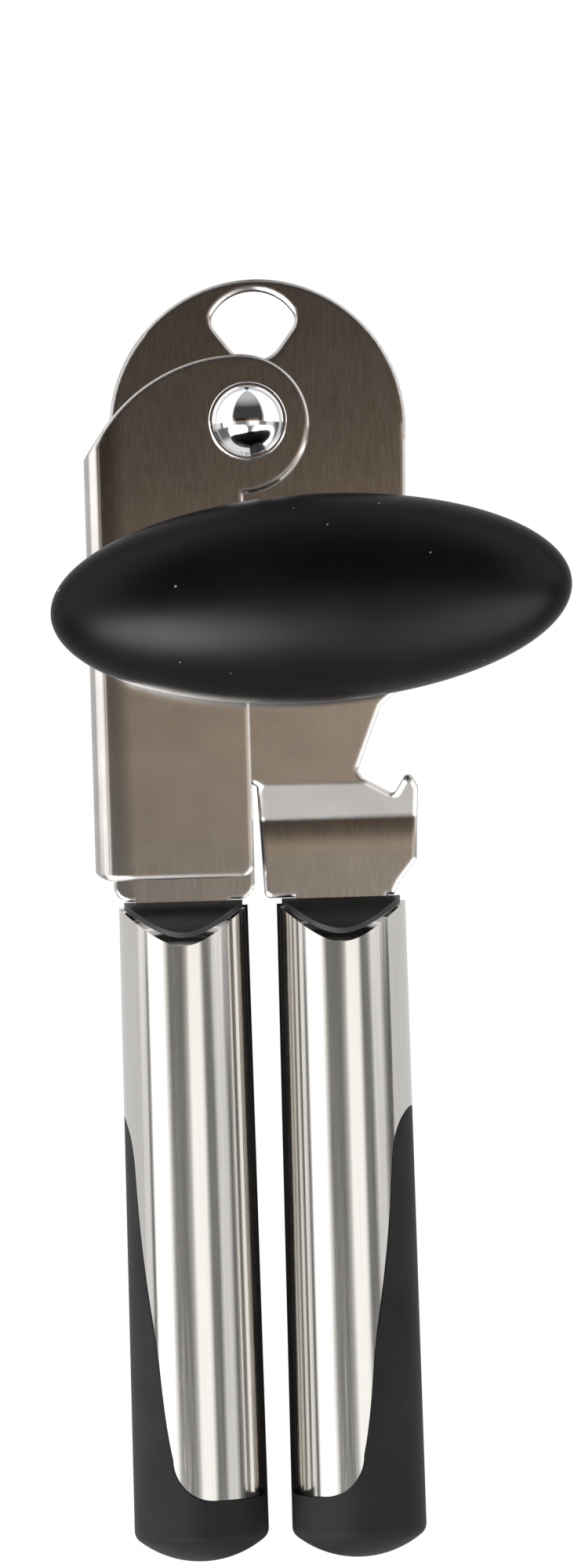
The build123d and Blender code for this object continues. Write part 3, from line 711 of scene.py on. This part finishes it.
def floor_material(colour):
    """Matte painted board with a very faint mottle, lit from behind, so that the camera sees it
    white. Polished metal sees a painted reflection of it: pale at the sides, with painted shade,
    nearly black, in the gap between the handles."""
    material, tree, shader, place = new_material("painted_board_pale")
    mottle = blotches(tree, place, size=60.0)
    fill_inputs(
        tree,
        shader,
        {
            "Base Color": uneven(tree, mottle, scaled(colour, 0.985), colour),
            "Roughness": 0.85,
            "Specular IOR Level": 0.2,
        },
    )
    rays = add_node(tree, "ShaderNodeLightPath")
    backlight = add_node(tree, "ShaderNodeEmission", {"Color": grey(1.0), "Strength": BACKLIGHT})
    to_camera = add_node(
        tree, "ShaderNodeMath", {0: rays.outputs["Is Camera Ray"], 1: BACKLIT_SHARE}, operation="MULTIPLY"
    ).outputs["Value"]
    board = add_node(
        tree,
        "ShaderNodeMixShader",
        {"Fac": to_camera, 1: shader.outputs["BSDF"], 2: backlight.outputs["Emission"]},
    )
    # Glossy rays get a painted reflection, not the lit board: painted shade, nearly black, in the gap between
    # the handles, and pale grey beside them
    across = add_node(tree, "ShaderNodeSeparateXYZ", {"Vector": place}).outputs["X"]
    from_gap = add_node(tree, "ShaderNodeMath", {0: across, 1: GAP_X}, operation="SUBTRACT").outputs["Value"]
    away = add_node(tree, "ShaderNodeMath", {0: from_gap}, operation="ABSOLUTE").outputs["Value"]
    beside = spread(tree, away, 0.5 * HANDLE_APART, HANDLE_APART)
    pale = colours_along(tree, beside, [(0, GAP_PAINTED_SHADE), (1, PAINTED_FLOOR_BESIDE)])
    mirrored = add_node(tree, "ShaderNodeEmission", {"Color": pale, "Strength": 1.0})
    surface = add_node(
        tree,
        "ShaderNodeMixShader",
        {
            "Fac": rays.outputs["Is Glossy Ray"],
            1: board.outputs["Shader"],
            2: mirrored.outputs["Emission"],
        },
    )
    tree.links.new(surface.outputs["Shader"], tree.nodes["Material Output"].inputs["Surface"])
    return material


def laid_over(tree, sky, share, colour, blend="MIX"):
    """A sky with a colour laid over it where a share is 1."""
    return add_node(
        tree, "ShaderNodeMix", {"Factor": share, "A": sky, "B": colour}, data_type="RGBA", blend_type=blend
    ).outputs["Result"]


def mirrored_sky(tree, direction):
    """The sky in a direction: tall white boxes to both sides with narrow dark gaps between them, a
    ceiling that is brown over the levers and dark towards the head, boxes beside the levers, and
    two bright boxes low past the handles' ends."""
    split = add_node(tree, "ShaderNodeSeparateXYZ", {"Vector": direction})
    height = split.outputs["Y"]
    angle = add_node(
        tree, "ShaderNodeMath", {0: split.outputs["X"], 1: split.outputs["Z"]}, operation="ARCTAN2"
    ).outputs["Value"]
    angle_size = add_node(tree, "ShaderNodeMath", {0: angle}, operation="ABSOLUTE").outputs["Value"]

    def heights(start, end):
        """0 at one height and 1 at another."""
        return spread(tree, height, start, end)

    def angles(start, end):
        """0 at one angle to either side and 1 at another."""
        return spread(tree, angle_size, math.radians(start), math.radians(end))

    across = add_node(
        tree,
        "ShaderNodeMapRange",
        {"Value": angle, "From Min": -math.pi / 2, "From Max": math.pi / 2, "To Min": 0.0, "To Max": 1.0},
    ).outputs["Result"]
    sky = colours_along(tree, across, [(0.5 + degrees / 180, grey(level)) for degrees, level in SKY_BANDS])
    # All of the ceiling over the levers is tinted, and only a strip of it over the handles' mouths
    along = add_node(
        tree,
        "ShaderNodeMapRange",
        {"Value": height, "From Min": CEILING_START, "From Max": CEILING_END, "To Min": 0.0, "To Max": 1.0},
    ).outputs["Result"]
    tint = colours_along(tree, along, [(share, [*colour, 1]) for share, colour in CEILING_TINTS])
    wide_enough = add_node(
        tree,
        "ShaderNodeMix",
        {"Factor": heights(-0.008, 0.004), "A": angles(8, 4), "B": angles(44, 34)},
        data_type="FLOAT",
    ).outputs["Result"]
    sky = laid_over(tree, sky, both(tree, wide_enough, heights(-0.034, -0.020)), tint, blend="MULTIPLY")
    # Beside the levers the boxes run down to the floor, and light the levers' rims
    sky = laid_over(tree, sky, both(tree, angles(38, 50), heights(-0.014, -0.006)), RIM_BOXES)
    # Past the handles' ends the room is dim, up to a pale window that the joggle's slope mirrors
    past_ends = heights(-0.14, -0.26)
    sky = laid_over(tree, sky, past_ends, DIM_ROOM)
    sky = laid_over(tree, sky, heights(-0.50, -0.72), FOOT_WINDOW)
    # The low boxes are there for the knob
    for aim, half_angle, level in LOW_BOXES:
        facing = add_node(
            tree, "ShaderNodeVectorMath", {0: direction, 1: Vector(aim).normalized()}, operation="DOT_PRODUCT"
        ).outputs["Value"]
        edge, core = math.cos(math.radians(half_angle)), math.cos(math.radians(LOW_BOX_CORE))
        sky = laid_over(tree, sky, both(tree, spread(tree, facing, edge, core), past_ends), grey(level))
    # Towards the head the room is dark between the side boxes, and paler at its far end
    far_room = colours_along(tree, height, [(0.60, DARK_ROOM), (0.90, ROOM_END)])
    return laid_over(tree, sky, both(tree, heights(0.10, 0.20), angles(44, 36)), far_room)


def studio_world():
    """A world that is white to the camera, dim and even to matte surfaces, and the mirrored sky to
    polished ones."""
    world = bpy.data.worlds.new("studio")
    bpy.context.scene.world = world
    world.use_nodes = True
    tree = world.node_tree
    tree.nodes.clear()
    output = add_node(tree, "ShaderNodeOutputWorld")
    sky = mirrored_sky(tree, add_node(tree, "ShaderNodeTexCoord").outputs["Generated"])
    rays = add_node(tree, "ShaderNodeLightPath")
    mirrored = add_node(tree, "ShaderNodeBackground", {"Color": sky, "Strength": 1.0})
    plain = add_node(tree, "ShaderNodeBackground", {"Color": grey(1.0), "Strength": ROOM_FILL})
    white = add_node(tree, "ShaderNodeBackground", {"Color": grey(1.0), "Strength": 1.0})
    unseen = add_node(
        tree,
        "ShaderNodeMixShader",
        {
            "Fac": rays.outputs["Is Glossy Ray"],
            1: plain.outputs["Background"],
            2: mirrored.outputs["Background"],
        },
    )
    surface = add_node(
        tree,
        "ShaderNodeMixShader",
        {"Fac": rays.outputs["Is Camera Ray"], 1: unseen.outputs["Shader"], 2: white.outputs["Background"]},
    )
    tree.links.new(surface.outputs["Shader"], output.inputs["Surface"])


def soft_lamp(name, place, size, power):
    """A large area lamp that faces the levers. Polished metal doesn't mirror it."""
    light = bpy.data.lights.new(name, "AREA")
    light.shape = "RECTANGLE"
    light.size, light.size_y = size
    light.energy = power
    lamp = bpy.data.objects.new(name, light)
    bpy.context.scene.collection.objects.link(lamp)
    lamp.location = place
    towards_levers = Vector((0, 0, PLATE_TOP)) - Vector(place)
    lamp.rotation_euler = towards_levers.to_track_quat("-Z", "Y").to_euler()
    lamp.visible_glossy = False


class OPENER_OT_studio(bpy.types.Operator):
    """Lay the pale floor, hang the soft lights and place the camera above the opener."""

    bl_idname = "opener.studio"
    bl_label = "Studio"

    def execute(self, context):
        studio = context.scene.opener_studio
        side = FLOOR_REACH
        mesh = bpy.data.meshes.new("studio_floor")
        corners = [(-side, -side, 0), (side, -side, 0), (side, side, 0), (-side, side, 0)]
        mesh.from_pydata(corners, [], [(0, 1, 2, 3)])
        floor = bpy.data.objects.new("studio_floor", mesh)
        context.collection.objects.link(floor)
        floor.location.z = LOWEST.z
        floor.data.materials.append(floor_material(from_property(studio.floor)))

        studio_world()
        for name, place, size, share in LAMPS:
            soft_lamp(name, place, size, studio.soft_light * share)

        view = bpy.data.cameras.new("above")
        view.sensor_width = 36.0
        view.lens = view.sensor_width * studio.distance / studio.framed_length
        view.clip_end = 20.0
        camera = bpy.data.objects.new("above", view)
        context.collection.objects.link(camera)
        under_camera = PIVOT + CAMERA_FROM_PIVOT
        camera.location = (under_camera.x, under_camera.y, PLATE_TOP + studio.distance)
        camera.rotation_euler = (0, 0, -studio.lean)
        context.scene.camera = camera
        context.scene.view_settings.view_transform = "Standard"
        return {"FINISHED"}


class OPENER_PT_panel(bpy.types.Panel):
    """Sidebar panel that lists the opener's settings and pieces."""

    bl_idname = "OPENER_PT_panel"
    bl_label = "Can opener"
    bl_space_type = "VIEW_3D"
    bl_region_type = "UI"
    bl_category = "Can opener"

    def draw(self, context):
        layout = self.layout
        for group in ("opener_steel", "opener_soft", "opener_knob", "opener_studio"):
            settings = getattr(context.scene, group)
            box = layout.box()
            for name in settings.bl_rna.properties.keys():
                if name not in ("rna_type", "name"):
                    box.prop(settings, name)
        for operator in OPERATORS:
            layout.operator(operator.bl_idname)


GROUPS = {
    "opener_steel": OpenerSteel,
    "opener_soft": OpenerSoft,
    "opener_knob": OpenerKnob,
    "opener_studio": OpenerStudio,
}
OPERATORS = (
    OPENER_OT_levers,
    OPENER_OT_pivot,
    OPENER_OT_drive,
    OPENER_OT_handles,
    OPENER_OT_knob,
    OPENER_OT_studio,
)


def register():
    for name, group in GROUPS.items():
        bpy.utils.register_class(group)
        setattr(bpy.types.Scene, name, bpy.props.PointerProperty(type=group))
    for operator in OPERATORS:
        bpy.utils.register_class(operator)
    bpy.utils.register_class(OPENER_PT_panel)


def unregister():
    bpy.utils.unregister_class(OPENER_PT_panel)
    for operator in reversed(OPERATORS):
        bpy.utils.unregister_class(operator)
    for name, group in reversed(GROUPS.items()):
        delattr(bpy.types.Scene, name)
        bpy.utils.unregister_class(group)


def main():
    register()
    bpy.ops.opener.levers()
    bpy.ops.opener.pivot()
    bpy.ops.opener.drive()
    bpy.ops.opener.handles()
    bpy.ops.opener.knob()
    bpy.ops.opener.studio()


if __name__ == "__main__":
    main()
